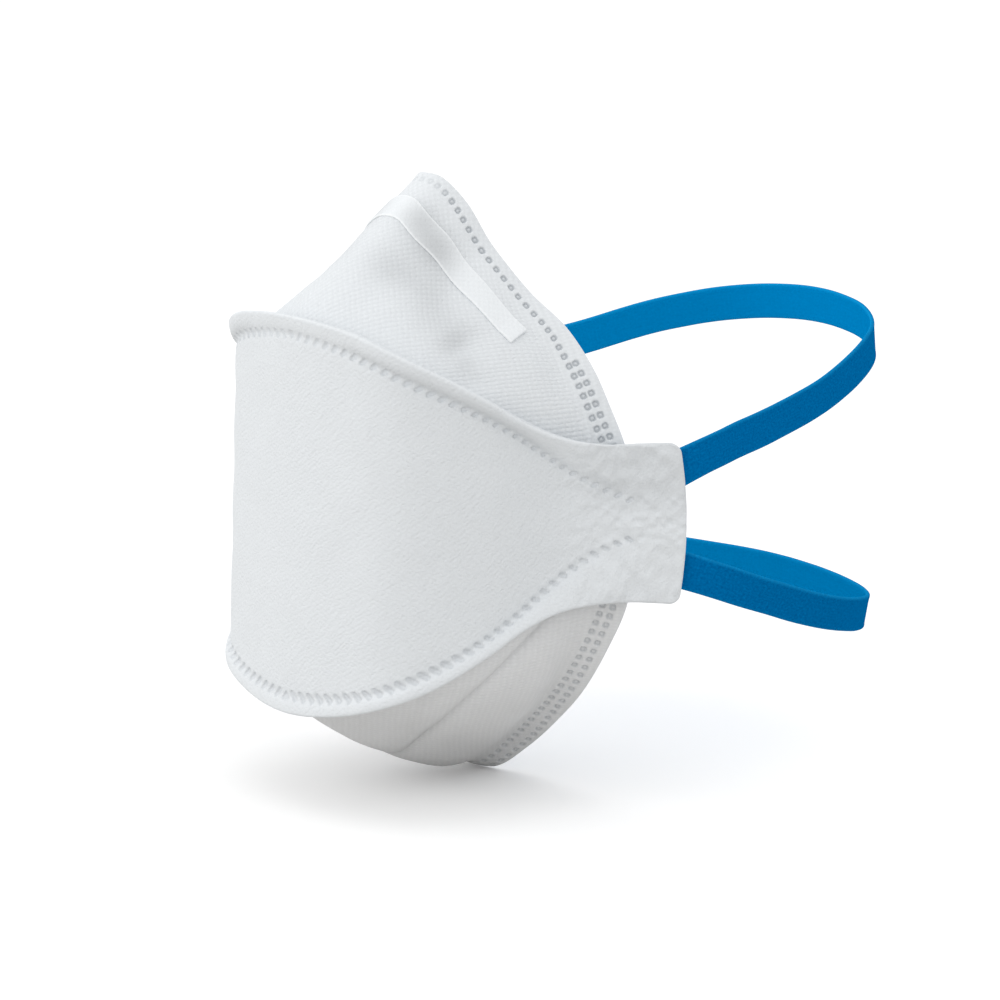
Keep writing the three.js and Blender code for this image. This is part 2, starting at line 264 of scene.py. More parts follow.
def closedSheet(name, outer, inner, toRim, innerRows, flat, marks, side=1):
    middle, half = (outer + inner) / 2, (outer - inner) / 2
    thick = np.linalg.norm(half, axis=-1)
    inset = np.clip(toRim / np.maximum(thick, 1e-6), 0, 1)
    half = times(half, np.sqrt(1 - (1 - inset) ** 2))
    columns, rows = outer.shape[:2]
    outerIds = np.arange(columns * rows).reshape(columns, rows)
    innerIds = outerIds[:, innerRows].copy()
    hidden = (columns - 2, len(innerRows) - 2)
    innerIds[1:-1, 1:-1] = columns * rows + np.arange(hidden[0] * hidden[1]).reshape(hidden)
    chosen = np.array(innerRows[1:-1])

    def both(values):  # the values of the outer face, then those of the inner one
        tail = values.shape[2:]
        return np.concatenate([values.reshape(-1, *tail), values[1:-1][:, chosen].reshape(-1, *tail)])

    points = both(middle + half)
    points[columns * rows :] = (middle - half)[1:-1][:, chosen].reshape(-1, 3)
    a, b = outerIds[:-1], outerIds[1:]
    quads = np.stack([a[:, :-1], b[:, :-1], b[:, 1:], a[:, 1:]], axis=-1).reshape(-1, 4)
    a, b = innerIds[1:-2], innerIds[2:-1]
    under = np.stack([a[:, :-1], a[:, 1:], b[:, 1:], b[:, :-1]], axis=-1).reshape(-1, 4)
    faces = np.concatenate([quads, under]).tolist()
    for k, (low, high) in enumerate(zip(innerRows[:-1], innerRows[1:])):
        first = outerIds[0, low : high + 1].tolist()
        faces.append(first + [int(innerIds[1, k + 1]), int(innerIds[1, k])])
        last = outerIds[-1, low : high + 1].tolist()
        faces.append(last[::-1] + [int(innerIds[-2, k]), int(innerIds[-2, k + 1])])
    if side < 0:
        faces = [face[::-1] for face in faces]
    inside = np.concatenate([np.zeros(columns * rows), np.ones(hidden[0] * hidden[1])])
    kept = {key: both(values) for key, values in marks.items()}
    return makeMesh(name, points, faces, both(flat), {**kept, "inside": inside})


def finishPiece(piece, node, material):
    piece.data.materials.append(material)
    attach(piece, "root")
    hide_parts(node)
    print("made", piece.name, "with", len(piece.data.polygons), "faces")


# The pressed marks along the two weld lines, a row of short slanting dashes. Values in pairs belong
# to the upper line, 1, and the lower one, -1.

weld = {
    "pitch": 2.9,
    "last": {1: 95.2, -1: 97.6},  # the last dash of each line, along it from the front
    "length": {1: 2.8, -1: 3.2},
    "width": 1.3,
    "slant": 50,  # degrees from the weld line, out towards the tab
    "depth": {1: 0.42, -1: 0.45},
    "rise": {1: 0.03, -1: 0.16},  # of the middle of a dash
    "shrink": 0.3,  # how much smaller the dashes get towards the tabs
    "faintest": 0.35,  # how strongly the upper line's middle dashes are marked
    "valley": 0.3,
    "valleyRise": 0.3,
    "valleyWidth": 1.2,
    "pucker": 0.09,
    "puckerReach": 5,  # how far the creases between the dashes run into the panel
}


def weldArc(side):
    along = np.linspace(0, mask["weldEnd"], 881)
    return along, reachAlong(centreFace(along, side * weldAt(along)))


def weldMarks(along, height):
    # How deep the cloth is pressed at each place, and where the marks are.
    side, reach = np.where(height > 0, 1, -1), np.abs(along)
    deep, marked = np.zeros(reach.shape), np.zeros(reach.shape)
    for one in (1, -1):
        count = round(weld["last"][one] / weld["pitch"])
        pitch = weld["last"][one] / count
        stations, arcs = weldArc(one)
        centres = np.interp(np.arange(count + 1) * pitch, arcs, stations)
        nearest = np.round(np.interp(reach, stations, arcs) / pitch).astype(int)
        for step in (-1, 0, 1):
            number = np.clip(nearest + step, -count, count)
            centre = np.sign(number) * centres[np.abs(number)]
            slope = (weldAt(centre + 0.1) - weldAt(centre - 0.1)) / 0.2
            angle = np.arctan(slope) + math.radians(weld["slant"])
            small = 1 - weld["shrink"] * smooth(np.abs(centre), 40, 58)
            right, up = reach - centre, np.abs(height) - weldAt(centre)
            onAxis = right * np.cos(angle) + up * np.sin(angle)
            offAxis = up * np.cos(angle) - right * np.sin(angle)
            run = (weld["length"][one] - weld["width"]) / 2 * small
            gap = np.hypot(onAxis - np.clip(onAxis, -run, run), offAxis)
            into = np.clip(1 - gap / (weld["width"] / 2 * small), 0, 1)
            into = np.where((side == one) & (nearest + step <= count), into, 0)
            dash = weld["depth"][one] * smooth(into, 0, 0.5) - weld["rise"][one] * smooth(into, 0.5, 1)
            deep = np.maximum(deep, dash)
            faint = (1 - weld["faintest"]) * (1 - smooth(np.abs(centre), 6, 20)) if one > 0 else 0
            marked = np.maximum(marked, smooth(into, 0, 0.35) * (1 - faint))
        past = np.abs(height) - weldAt(along)
        onWeld = np.where(side == one, 1 - smooth(reach, mask["weldEnd"] - 1.5, mask["weldEnd"] + 1), 0)
        valley = weld["valley"] * bell(past - weld["valleyRise"], weld["valleyWidth"]) * onWeld
        slope = np.arctan((weldAt(reach + 0.1) - weldAt(np.maximum(reach - 0.1, 0))) / 0.2)
        slant = math.radians(weld["slant"])
        inwards = np.maximum(-past, 0)
        follow = reach + inwards * np.cos(slope) * np.cos(slope + slant) / math.sin(slant)
        arc = np.interp(follow, stations, arcs)
        fading = smooth(inwards, 0.3, 1.5) * np.exp(-inwards / weld["puckerReach"])
        fading = fading * (0.5 + 0.5 * smooth(reach, 14, 30)) * (1 - smooth(reach, 70, 84))
        uneven = 1 + 0.6 * softNoise(along, height, 5, 8)
        pucker = weld["pucker"] * np.cos(2 * math.pi * arc / pitch) * fading * uneven * onWeld
        deep = deep + valley * (1 - marked * 0.5) + pucker
    return deep, marked


# The centre panel, with its two flanges and the side tabs.

centre = {
    "spacing": 0.35,
    "body": 1.65,  # thickness
    "pinched": 0.95,  # thickness at the welds
    "tab": 1.8,
    "flangeRoll": 0.5,
    "lumps": 0.16,
    "fineLumps": 0.04,
    "tabLumps": 0.45,
    "paintedFlangeShade": 0.35,  # painted shade, a greyer cloth colour, at the foot of the upper flange
    "paintedTabShade": 0.3,  # and painted shade over the upper part of each tab
    "rimSteps": [0, 0.05, 0.15, 0.3, 0.5, 0.8],
    "pastSteps": [0.2, 0.45, 0.7, 0.95, 1.2, 1.5, 1.85],
    "insideSteps": [0, 0.2, 0.4, 0.6, 0.8, 1.0, 1.2, 1.4, 1.6, 1.8, 2.0, 2.4, 3.0, 3.8],
}


def centrePanel():
    end = mask["halfLength"]
    rim = np.array(centre["rimSteps"])
    half = np.linspace(0, end - 1.2, round((end - 1.2) / centre["spacing"]) + 1)
    half = np.concatenate([half, end - rim[::-1]])
    along = np.concatenate([-half[:0:-1], half])
    count = len(along)
    weldHeight = weldAt(along)

    def flangeRows(side):
        wide = flangeAt(along, side) - cornerDrop(along)
        edge = wide[:, None] - rim
        step = np.array(centre["pastSteps"])
        share = between(0, 1, 10)
        middle = edge[:, -1:] + (step[-1] - edge[:, -1:]) * share
        return rowsOf(edge, middle, np.broadcast_to(step[::-1], (count, len(step))))

    squeeze = np.minimum(1, weldHeight / 8)[:, None]
    insideRows = np.array(centre["insideSteps"]) * squeeze
    low = weldHeight[:, None] + flangeRows(-1)
    top = weldHeight[:, None] + flangeRows(1)
    edgeRows = weldHeight[:, None] - insideRows
    middle = (weldHeight - insideRows[:, -1])[:, None] * between(-1, 1, 34)
    height = rowsOf(-low, -edgeRows, middle, edgeRows[:, ::-1], top[:, ::-1])
    reach = np.broadcast_to(along[:, None], height.shape)
    far = np.abs(reach)
    side = np.where(height > 0, 1, -1)

    past = np.abs(height) - weldAt(reach)
    toEdge = flangeAt(reach, side) - past
    toEnd = end - far
    radius = mask["cornerRadius"]
    corner = radius - np.hypot(radius - np.minimum(toEnd, radius), radius - np.minimum(toEdge, radius))
    toRim = np.where((toEnd < radius) & (toEdge < radius), corner, np.minimum(toEdge, toEnd))

    onTab = smooth(far, 83, 91)
    share = np.clip(past / (past + np.maximum(toEdge, 1e-6)), 0, 1)
    deep, marked = weldMarks(reach, height)
    roll = centre["flangeRoll"] * (0.4 + 0.6 * smooth(far, 10, 34))
    front = roll * np.sin(math.pi * share) ** 0.8 * (1 - onTab) - deep
    front = front + centre["lumps"] * softNoise(reach, height, 9, 3) * smooth(-past, 0, 6)
    front = front + centre["fineLumps"] * softNoise(reach, height, 2.6, 4)
    # Painted shade: the cloth is made greyer at the foot of the upper flange and over the upper part of
    # each tab.
    shadedFoot = bell(past - 1.6, 1.5) * smooth(past, 0, 0.8) * np.where(height > 0, 1, 0)
    shadedFoot = shadedFoot * smooth(far, 12, 26) * (1 - smooth(far, 60, 72))
    shadedUpperTab = smooth(far, 72, 86) * smooth(height, -2, 8)
    shade = centre["paintedFlangeShade"] * shadedFoot + centre["paintedTabShade"] * shadedUpperTab
    tabGrain = softNoise(reach + height * 0.4, height, 2.6, 5) + 0.7 * softNoise(reach, height, 1.3, 6)
    front = front + centre["tabLumps"] * tabGrain * smooth(far, 66, 84)
    cloth = centre["pinched"] + (centre["body"] - centre["pinched"]) * smooth(-past, 0, 3)
    back = -(cloth * (1 - onTab) + centre["tab"] * onTab)
    back = back + centre["fineLumps"] * softNoise(reach, height, 3, 7)

    face = centreFace(reach, height)
    normal = gridNormals(face)
    normal[0], normal[-1] = normal[3], normal[-4]  # the ends borrow the cloth's direction
    rows = height.shape[1]
    flangeCount = len(rim) + 10 + len(centre["pastSteps"])
    insideCount = len(centre["insideSteps"])
    kept = [0, 2, 4, 6, 10, 14, 17, 20, flangeCount, flangeCount + 4, flangeCount + 8]
    kept = kept + [flangeCount + insideCount - 1]
    body = list(range(flangeCount + insideCount + 2, rows // 2, 4))
    innerRows = sorted(set(kept + body + [rows - 1 - row for row in kept + body]))
    return closedSheet(
        "centre_panel_cloth",
        face + times(normal, front),
        face + times(normal, back),
        toRim,
        innerRows,
        np.stack([reach, height], axis=-1),
        {"pressed": marked, "tab": smooth(far, 70, 86), "shade": shade},
    )


# The nose and chin panels. Each hangs from a weld line, where its hem is folded up or down behind the
# centre panel's flange, and ends in a flat margin with rows of seal dots along the face.

noseEdge = withShares(table(
    "x y z",
    (0, -25.5, 75.3), (4, -24.7, 74.7), (10, -21.9, 69.2), (16, -18.8, 59.6), (24, -14.6, 49.4),
    (33, -11.3, 42.0), (41.8, -10.2, 32.5), (45.8, -9.4, 25.2), (49.6, -8.2, 16.5), (51.5, -7.1, 9),
))
chinEdge = withShares(table(
    "x y z",
    (0, -9.6, -68.6), (5, -8.6, -68.1), (13, -6, -62.4), (24, -6, -53.7), (34.7, -7, -44),
    (43.7, -7.5, -32), (49.5, -7.3, -21.1), (51.5, -7.1, -9),
))
noseSwell = table(
    "share nearWeld nearEdge dip",
    (0, 1.9, -0.3, 0), (0.25, 1.2, 0.3, 0), (0.45, 1.2, 0.6, 0.6),
    (0.65, 1.1, 0, 1.6), (0.85, 0, 0, 0.4), (1, 0, 0, 0),
)
chinSwell = table(
    "share nearWeld nearEdge dip",
    (0, 3.5, 3.1, 1.5), (0.25, 3.4, 1.6, 3), (0.5, 2.4, 0.4, 3),
    (0.7, 1.0, 0, 1.6), (0.85, 0, 0, 0.3), (1, 0, 0, 0),
)
noseDents = [  # share, down, depth and the two spreads
    (0.08, 0.74, -0.5, 0.05, 0.2),
    (0.15, 0.5, 0.9, 0.08, 0.14),
    (0.25, 0.78, 1.1, 0.075, 0.2),
    (0.3, 0.52, 1.5, 0.06, 0.15),
    (0.42, 0.37, 1.5, 0.045, 0.12),
    (0.52, 0.2, 0.6, 0.04, 0.1),
]
chinFold = table(
    "share down depth",
    (0, 0.52, 0.3), (0.15, 0.44, 0.8), (0.3, 0.36, 0.8), (0.45, 0.3, 0.8),
    (0.65, 0.27, 0.6), (0.8, 0.26, 0), (1, 0.26, 0),
)
paintedNoseShades = [  # patches of painted shade: share, down, strength and the two spreads
    (0.08, 0.76, 0.55, 0.05, 0.09),
    (0.17, 0.71, 0.85, 0.07, 0.1),
    (0.12, 0.48, 0.35, 0.08, 0.1),
    (0.22, 0.53, 0.3, 0.08, 0.11),
    (0.33, 0.43, 0.35, 0.07, 0.14),
    (0.4, 0.38, 0.3, 0.035, 0.12),
    (0.46, 0.28, 0.35, 0.03, 0.1),
]


def paintedNoseShade(share, down):  # painted shade where the cloth lies in a hollow
    return sumOfBells(paintedNoseShades, share, down)


def paintedChinShade(share, down):  # painted shade along the fold and down under the chin
    fold = bell(down - read(chinFold, "down", share), 0.02)
    fold = fold * (1 - smooth(np.abs(share), 0.66, 0.8))
    under = smooth(down, 0.35, 0.8) * (1 - smooth(np.abs(share), 0.08, 0.35))
    return 0.35 * fold + 0.5 * under


def noseHollow(share, down):
    return sumOfBells(noseDents, share, down)


def chinHollow(share, down):
    fold = bell(down - read(chinFold, "down", share), 0.06)
    return read(chinFold, "depth", share) * fold


def panelFace(edge, swell, hollow, side):
    def straight(share, down):
        along = share * mask["weldEnd"]
        behind = mask["thickness"] + mask["seat"] - tipAt(along, side)
        start = planAt(along) - times(outwardAt(along), behind)
        start[..., 2] = side * weldAt(along)
        return start + times(spotOn(edge, share) - start, down)

    def face(share, down):
        share, down = np.broadcast_arrays(np.asarray(share, float), np.asarray(down, float))
        nudge = 1e-3
        round_ = straight(share + nudge, down) - straight(share - nudge, down)
        downwards = straight(share, down + nudge) - straight(share, down - nudge)
        normal = unit(np.cross(round_, downwards)) * side
        swelling = read(swell, "nearWeld", share) * down * (1 - down) ** 2
        swelling = (swelling + read(swell, "nearEdge", share) * down**2 * (1 - down)) * 27 / 4
        point = straight(share, down)
        fromEdge = np.linalg.norm(point - straight(share, np.ones(share.shape)), axis=-1)
        dip = bell(fromEdge - mask["marginWidth"], mask["marginSpread"])
        dip = read(swell, "dip", share) * dip
        return point + times(normal, swelling - dip - hollow(share, down))

    return face


def panelLength(face, share):  # from the weld line to the face edge
    apart = face(share, np.zeros(share.shape)) - face(share, np.ones(share.shape))
    return np.linalg.norm(apart, axis=-1)


def nearestOnEdge(points, edge):
    # How far each point is from the face edge, and how far along the edge that is from the middle.
    shares = np.linspace(-1, 1, 1801)
    line = spotOn(edge, shares)
    arcs = reachAlong(line)
    arcs = arcs - arcs[-1] / 2
    gap, place = np.empty(points.shape[:2]), np.empty(points.shape[:2])
    for row in range(points.shape[1]):
        apart = np.linalg.norm(points[:, row, None, :] - line[None, :, :], axis=-1)
        best = np.argmin(apart, axis=1)
        gap[:, row], place[:, row] = apart[np.arange(len(best)), best], arcs[best]
    return gap, place


sealDots = {"pitch": 2.7, "size": 0.85, "depth": 0.42, "rise": 0.34}


def dotMarks(gap, place, rows):
    # Small pressed squares with a raised middle, in rows along the face edge. Each row has its
    # distance from the edge, the place that it starts from and how strong it is in the middle.
    deep, marked = np.zeros(gap.shape), np.zeros(gap.shape)
    for distances, start, strength in rows:
        beside = gap - read(distances, "gap", place)
        number = np.round(place / sealDots["pitch"])
        along = place - number * sealDots["pitch"]
        square = (np.abs(along) ** 3 + np.abs(beside) ** 3) ** (1 / 3) / sealDots["size"]
        shown = np.abs(number) * sealDots["pitch"] >= start
        shown = shown * (strength + (1 - strength) * smooth(np.abs(place), 3, 12))
        rise = sealDots["rise"] * smooth(1 - square, 0.35, 0.8)
        deep = np.maximum(deep, (sealDots["depth"] * smooth(1 - square, 0, 0.3) - rise) * shown)
        ring = smooth(1 - square, 0, 0.2) * (1 - 0.6 * smooth(1 - square, 0.4, 0.8))
        marked = np.maximum(marked, ring * shown)
    return deep, marked


farOff = 50.0  # a distance that stands for nowhere near


def sidePanel(settings, edge, face, side, node):
    weldEnd = mask["weldEnd"]
    rim = np.array(settings["rimSteps"])
    share = closeAtEnds(1, rim / weldEnd, settings["columns"])
    along = share * weldEnd

    # the hem, behind the centre panel's flange, from its free edge to the fold
    wide = flangeAt(along, side) - settings["hemShort"]
    topRows = wide[:, None] - rim
    hemRows = topRows[:, -1:] + (rim[-1] - topRows[:, -1:]) * np.linspace(0, 1, 7)[1:]
    lastRows = np.broadcast_to(settings["hemSteps"], (len(along), 2))
    past = rowsOf(topRows, hemRows, lastRows)
    reach = np.broadcast_to(along[:, None], past.shape)
    flangeBase = centreFace(reach, side * (weldAt(reach) + past))
    flangeNormal = gridNormals(flangeBase[:, ::-1])[:, ::-1] * side
    hemWave = 0.05 * softNoise(reach, past, 4, 11)
    hemBack = flangeBase - times(flangeNormal, settings["hemBack"] + hemWave)
    hemFront = flangeBase - flangeNormal * settings["hemFront"]

    # the panel itself, from the fold to the face edge
    length = panelLength(face, share)
    edgeRun = unit(spotOn(edge, share + 1e-3) - spotOn(edge, share - 1e-3))
    lineRun = unit(face(share, np.ones(share.shape)) - face(share, np.full(share.shape, 0.93)))
    slant = np.sqrt(np.clip(1 - np.sum(edgeRun * lineRun, axis=-1) ** 2, 0.2, 1))
    marginRows = np.arange(1, settings["margin"] + 0.01, 0.25)
    marginRows = np.concatenate([settings["marginSteps"], marginRows])
    stretch = np.minimum(1 / slant, (length - 3.2) / settings["margin"])
    margin = 1 - marginRows[::-1] * (stretch / length)[:, None]
    foldRows = np.array(settings["foldSteps"]) / length[:, None]
    start, stop = foldRows[:, -1:], margin[:, :1]
    before, *after = settings["bodyRows"]
    if after:  # rows close together along the fold, and wider ones before and after it
        steps = np.array(settings["creaseSteps"])
        crease = read(chinFold, "down", share)[:, None]
        room = np.minimum(1, np.minimum(crease - start, stop - crease) * length[:, None] / 3.4)
        creaseRows = crease + steps * np.clip(room, 0.15, 1) / length[:, None]
        firstPart = start + (creaseRows[:, :1] - start) * between(0, 1, before)
        lastPart = creaseRows[:, -1:] + (stop - creaseRows[:, -1:]) * between(0, 1, after[0])
        bodyDown = rowsOf(firstPart, creaseRows, lastPart)
    else:
        bodyDown = start + (stop - start) * between(0, 1, before)
    down = rowsOf(foldRows, bodyDown, margin)
    round_ = np.broadcast_to(share[:, None], down.shape)
    base = face(round_, down)
    normal = gridNormals(base, side)
    fromWeld, fromEdge = down * length[:, None], (1 - down) * length[:, None]

    marginStart = down.shape[1] - len(marginRows)
    gap, place = np.full(down.shape, farOff), np.zeros(down.shape)
    gap[:, marginStart:], place[:, marginStart:] = nearestOnEdge(base[:, marginStart:], edge)
    deep, marked = dotMarks(gap, place, settings["dots"])
    flatMargin = 1 - smooth(gap, settings["marginWidth"] - 0.8, settings["marginWidth"] + 1.2)
    away = smooth(fromWeld, 0, 6) * (1 - flatMargin)
    u, v = round_ * 90, fromWeld
    lift = settings["lumps"] * softNoise(u, v, 8, settings["seed"]) * away
    lift = lift + 0.05 * softNoise(u, v, 3, settings["seed"] + 1) * away
    lift = lift - settings["marginSink"] * flatMargin - deep
    if settings["creases"]:
        lift = lift - settings["creases"](round_, down, length[:, None])
    thick = settings["body"] + (settings["marginThickness"] - settings["body"]) * flatMargin
    outerBody = base + times(normal, lift)
    innerBody = base - times(normal, thick + 0.4 * deep - 0.5 * deep * flatMargin)

    # the inner side of the fold goes round in a curve
    foldStart, foldEnd = hemFront[:, -3], innerBody[:, 5]
    bend = centreFace(along, side * (weldAt(along) - 0.9 * np.minimum(1, weldAt(along) / 4)))
    bend = bend - flangeNormal[:, -1] * settings["foldDepth"]
    t = np.linspace(0, 1, 9)[1:-1][None, :, None]
    curve = foldStart[:, None] * (1 - t) ** 2 + bend[:, None] * 2 * t * (1 - t) + foldEnd[:, None] * t**2
    innerHem = rowsOf(hemFront[:, :-2], curve[:, :2])
    innerBody = rowsOf(curve[:, 2:], innerBody[:, 5:])
    outer = rowsOf(hemBack, outerBody)
    inner = rowsOf(innerHem, innerBody)

    hemCount = past.shape[1]
    toHem = rowsOf(wide[:, None] - past, np.full(down.shape, farOff))
    toFace = np.minimum(gap, fromEdge * slant[:, None] + 5 * (fromEdge > 6))
    toFace = rowsOf(np.full(past.shape, farOff), toFace)
    toEnd = (1 - np.abs(share[:, None])) * weldEnd
    toRim = np.minimum(np.minimum(toHem, toFace), toEnd)
    rows = outer.shape[1]
    kept = [0, 2, 4, 8, hemCount - 3] + list(range(hemCount - 2, hemCount + 6))
    kept = kept + list(range(hemCount + 8, hemCount + marginStart, settings["innerEvery"]))
    kept = kept + list(range(hemCount + marginStart, rows))
    flat = rowsOf(np.stack([reach, -past], axis=-1), np.stack([u, v], axis=-1))
    nothing = np.zeros(past.shape)
    marks = {
        "pressed": rowsOf(nothing, marked),
        "margin": rowsOf(nothing, flatMargin),
        # the shade mark is painted shade: greyer in the nose hollows, along the chin's fold and under
        # the chin
        "shade": rowsOf(nothing, settings["shade"](round_, down)),
    }
    return closedSheet(node + "_cloth", outer, inner, toRim, sorted(set(kept)), flat, marks, side)


chinCrease = table(
    "share down",
    (0, 0.42), (0.12, 0.4), (0.2, 0.33), (0.28, 0.23), (0.36, 0.12), (0.44, 0),
)


def chinCreases(share, down, length):
    sharp = (down - read(chinFold, "down", share)) * length
    first = 0.45 * np.exp(-np.abs(sharp) / 0.55) * (1 - smooth(np.abs(share), 0.66, 0.8))
    second = (down - read(chinCrease, "down", share)) * length
    fading = smooth(np.abs(share), 0.1, 0.2) * (1 - smooth(np.abs(share), 0.36, 0.42))
    return first + 0.5 * bell(second, 1.5) * fading


# How far in from the face edge the rows of dots run, by the distance round it from the middle.
noseInnerDots = table(
    "arc gap",
    (0, 2.2), (5, 2.5), (9, 2.7), (16, 3.4), (24, 3.4),
    (40, 3.9), (58, 4.8), (66, 4.9), (74, 4.8), (89, 4.3),
)
noseOuterDots = table("arc gap", (0, 3.1), (58, 3.2), (66, 3.0), (78, 2.7), (89, 2.2))
chinInnerDots = table("arc gap", (0, 5.6), (14, 6.0), (37, 6.0), (60, 5.6), (84, 5.6))
chinOuterDots = table("arc gap", (0, 2.4), (20, 2.5), (36, 3.2), (60, 3.1), (84, 3.1))

nosePanel = {
    "columns": 671,
    "rimSteps": [0, 0.06, 0.17, 0.35, 0.6],  # rows close to a free edge, and how far in they lie
    "hemSteps": [0.3, 0.1],
    "foldSteps": [0, 0.15, 0.4, 0.8, 1.4, 2.2],
    "marginSteps": [0, 0.05, 0.15, 0.3, 0.5, 0.75],
    "bodyRows": [26],
    "innerEvery": 4,
    "hemBack": 1.85,
    "hemShort": 0.4,
    "hemFront": 1.05,
    "foldDepth": 1.35,
    "body": 1.45,
    "margin": 8.0,
    "marginWidth": 7.0,
    "marginThickness": 1.0,
    "marginSink": 0.12,
    "creases": None,
    "shade": paintedNoseShade,
    "lumps": 0.12,
    "seed": 21,
    "dots": [(noseInnerDots, 0, 0.3), (noseOuterDots, 58.5, 0.8)],
}
chinPanel = {
    **nosePanel,
    "columns": 601,
    "creaseSteps": [-2.4, -1.7, -1.2, -0.8, -0.5, -0.25, 0, 0.25, 0.5, 0.8, 1.2, 1.7, 2.4],
    "bodyRows": [12, 12],
    "innerEvery": 5,
    "marginWidth": 7.4,
    "creases": chinCreases,
    "shade": paintedChinShade,
    "lumps": 0.14,
    "seed": 41,
    "dots": [(chinInnerDots, 0, 0.9), (chinOuterDots, 0, 0.9)],
}


# The nose clip, a flat strip that lies across the bridge of the nose.

clip = {
    "width": 6.8,
    "reach": 0.502,
    "run": 89,  # millimetres for the whole of a share
    "thickness": 0.42,
    "seat": -0.1,  # it is pressed a little into the cloth
    "columns": 361,
    "crown": 0.05,
    "rimRidge": 0.06,
    "endRadius": 0.5,
    "endLift": 0.3,
    "endSteps": [0, 0.05, 0.15, 0.35, 0.7],
    "sideSteps": [0, 0.05, 0.12, 0.22, 0.35, 0.6, 1.0, 1.6],
}
clipRows = table(
    "share inset",
    (0, 11.2), (0.1, 13.3), (0.2, 12.7), (0.3, 12.4), (0.42, 12.9), (0.6, 12.8),
)


def noseClip(face):
    steps = np.array(clip["endSteps"]) / clip["run"]
    share = closeAtEnds(clip["reach"], steps, clip["columns"])
    half = clip["width"] / 2
    inward = half - np.array(clip["sideSteps"])
    across = np.concatenate([-inward, [0], inward[::-1]]) / half
    share, across = np.meshgrid(share, across, indexing="ij")
    toEnd = (clip["reach"] - np.abs(share)) * clip["run"]
    radius = clip["endRadius"]
    into = radius - np.minimum(toEnd, radius)
    pull = (radius - np.sqrt(np.maximum(radius**2 - into**2, 0))) / half
    inset = read(clipRows, "inset", share) - across * half * (1 - pull)
    down = 1 - inset / panelLength(face, share)
    base = face(share, down)
    normal = gridNormals(base)
    normal[0], normal[-1] = normal[3], normal[-4]
    toSide = half * (1 - np.abs(across))
    ridge = clip["rimRidge"] * bell(toSide - 0.35, 0.3)
    place = np.stack([share * clip["run"], across * half], axis=-1)
    top = clip["seat"] + clip["thickness"] + clip["crown"] * (1 - across**2) + ridge
    top = top + clip["endLift"] * (1 - smooth(toEnd, 0, 5))
    top = top + 0.03 * softNoise(place[..., 0], place[..., 1], 2, 51)
    rows = share.shape[1]
    return closedSheet(
        "nose_clip_strip",
        base + times(normal, top),
        base + normal * clip["seat"],
        np.minimum(toSide, toEnd) * 1.6,
        [0, 3, rows // 2, rows - 4, rows - 1],
        place,
        # shade carries the nose panel's painted shade, and edge the band along both sides that gets a
        # painted highlight
        {"edge": bell(toSide, 0.3), "shade": paintedNoseShade(share, down)},
    )


# The two headbands, flat knitted elastic that runs behind both tabs.

band = {
    "width": 8.8,
    "gap": 0.55,  # between a band and the tab
    "thickness": 1.1,
    "columns": 621,
    "selvage": 0.07,
    "endSteps": [0, 0.05, 0.15, 0.35, 0.7],
    "sideSteps": [0, 0.05, 0.12, 0.22, 0.35, 0.55, 0.8, 1.1, 1.5],
}
upperBand = table(
    "x y z lean",
    (0, 98.9, 30.9, 0), (10.7, 97.9, 30.5, -1), (21, 94.7, 29.5, -2), (31.1, 87.9, 27.6, -4),
    (38.1, 78.2, 25.2, -4), (46.4, 57.7, 20.2, -1), (52.7, 36.2, 17.1, 0), (57.3, 16.5, 14.8, 0),
    (60, 5.6, 13.5, 0),
)
lowerBand = table(
    "x y z lean",
    (0, 86.2, -35.1, -1), (10.8, 85.5, -35.1, -1), (23.4, 82.7, -35, 0), (33.8, 78.8, -34.7, 2),
    (44.7, 72.4, -33.9, 6), (52.6, 65.3, -32.7, 11), (59.6, 55.4, -30.6, 18), (64.4, 44.1, -27.8, 23),
    (66.5, 33.9, -24.7, 24), (66.7, 21.8, -20.4, 22), (64.9, 11.8, -16.5, 16), (62.3, 4.5, -13.6, 10),
)
bandAnchors = table(  # how high each band lies behind a tab, from its end inwards
    "along upper lower",
    (98, 11.5, 11.6), (95, 10, 10.8), (91.5, 8.6, 10),
)


